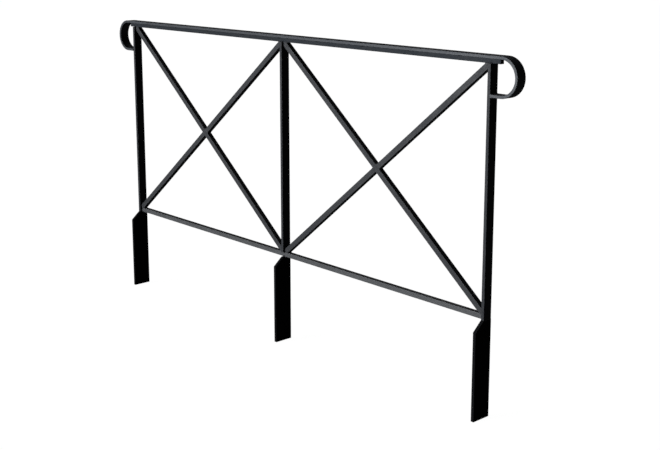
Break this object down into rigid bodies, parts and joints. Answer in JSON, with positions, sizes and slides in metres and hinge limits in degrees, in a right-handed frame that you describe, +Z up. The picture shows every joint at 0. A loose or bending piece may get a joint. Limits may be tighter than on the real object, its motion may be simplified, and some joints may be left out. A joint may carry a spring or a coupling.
{
  "type": "pedestrian guard railing",
  "caption": "Steel guard railing with crossed braces between its posts, a flat handrail curled at each end, and flat feet to set in the ground.",
  "frame": {"origin": "bottom face of the middle foot plate, in the plane of the railing", "axes": "+X along the railing, +Z up, -Y the side that the foot plates stand out to"},
  "size_m": [2.2116, 0.076, 1.183],
  "materials": {
    "black_paint": "satin black paint over steel bar"
  },
  "bodies": {
    "root": {"handrail": "black_paint", "top_rail": "black_paint", "bottom_rail": "black_paint", "post_left": "black_paint", "post_middle": "black_paint", "post_right": "black_paint", "foot_left": "black_paint", "foot_middle": "black_paint", "foot_right": "black_paint", "brace_left_long": "black_paint", "brace_left_lower_half": "black_paint", "brace_left_upper_half": "black_paint", "brace_right_long": "black_paint", "brace_right_lower_half": "black_paint", "brace_right_upper_half": "black_paint"}
  },
  "joints": []
}
